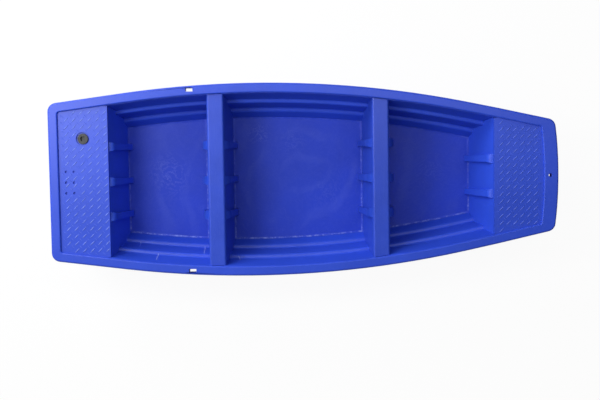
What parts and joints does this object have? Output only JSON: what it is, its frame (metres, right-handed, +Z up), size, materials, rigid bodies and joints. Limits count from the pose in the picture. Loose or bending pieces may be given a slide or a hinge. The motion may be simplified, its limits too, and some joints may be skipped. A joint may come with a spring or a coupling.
{
  "type": "flat-bottomed plastic work boat",
  "caption": "Blue rotomoulded open boat with square ends, stepped side walls, ribbed thwarts and bulkheads, treaded end decks and a black inspection plug.",
  "frame": {"origin": "middle of the boat's bounding box, on the ground under the runners", "axes": "+X along the boat to the bow, +Y to port, +Z up"},
  "size_m": [3.2, 1.2116, 0.45],
  "materials": {
    "hull_plastic": "rotomoulded polyethylene with a soft sheen, lightly scuffed",
    "floor_plastic": "rotomoulded polyethylene with fine swirling scuffs",
    "plug_plastic": "moulded, slightly greyed",
    "gasket_rubber": "matt"
  },
  "bodies": {
    "hull": {"gunwale_stern": "hull_plastic", "gunwale_port": "hull_plastic", "gunwale_starboard": "hull_plastic", "gunwale_bow": "hull_plastic", "port_aft_lower_step": "hull_plastic", "port_aft_upper_step": "hull_plastic", "port_aft_top_strake": "hull_plastic", "port_mid_lower_step": "hull_plastic", "port_mid_upper_step": "hull_plastic", "port_mid_top_strake": "hull_plastic", "port_forward_lower_step": "hull_plastic", "port_forward_upper_step": "hull_plastic", "port_forward_top_strake": "hull_plastic", "starboard_aft_lower_step": "hull_plastic", "starboard_aft_upper_step": "hull_plastic", "starboard_aft_top_strake": "hull_plastic", "starboard_mid_lower_step": "hull_plastic", "starboard_mid_upper_step": "hull_plastic", "starboard_mid_top_strake": "hull_plastic", "starboard_forward_lower_step": "hull_plastic", "starboard_forward_upper_step": "hull_plastic", "starboard_forward_top_strake": "hull_plastic", "stern_box": "hull_plastic", "bow_box": "hull_plastic", "hull_bottom": "hull_plastic", "floor_aft": "floor_plastic", "floor_mid": "floor_plastic", "floor_forward": "floor_plastic", "stern_deck": "hull_plastic", "bow_deck": "hull_plastic", "stern_bulkhead": "hull_plastic", "bow_bulkhead": "hull_plastic", "aft_thwart": "hull_plastic", "forward_thwart": "hull_plastic", "stern_rib_1": "hull_plastic", "stern_rib_2": "hull_plastic", "stern_rib_3": "hull_plastic", "bow_rib_1": "hull_plastic", "bow_rib_2": "hull_plastic", "aft_thwart_rib_1": "hull_plastic", "aft_thwart_rib_2": "hull_plastic", "aft_thwart_rib_3": "hull_plastic", "aft_thwart_rib_4": "hull_plastic", "aft_thwart_rib_5": "hull_plastic", "aft_thwart_rib_6": "hull_plastic", "forward_thwart_rib_1": "hull_plastic", "forward_thwart_rib_2": "hull_plastic", "forward_thwart_rib_3": "hull_plastic", "forward_thwart_rib_4": "hull_plastic", "forward_thwart_rib_5": "hull_plastic", "forward_thwart_rib_6": "hull_plastic", "runner_port": "hull_plastic", "runner_centre": "hull_plastic", "runner_starboard": "hull_plastic", "plug_gasket": "gasket_rubber"},
    "plug": {"inspection_plug": "plug_plastic"}
  },
  "joints": [
    {"name": "plug_lift", "type": "slide", "parent": "hull", "child": "plug", "axis": [0, 0, 1], "range_m": [0, 0.06]}
  ]
}
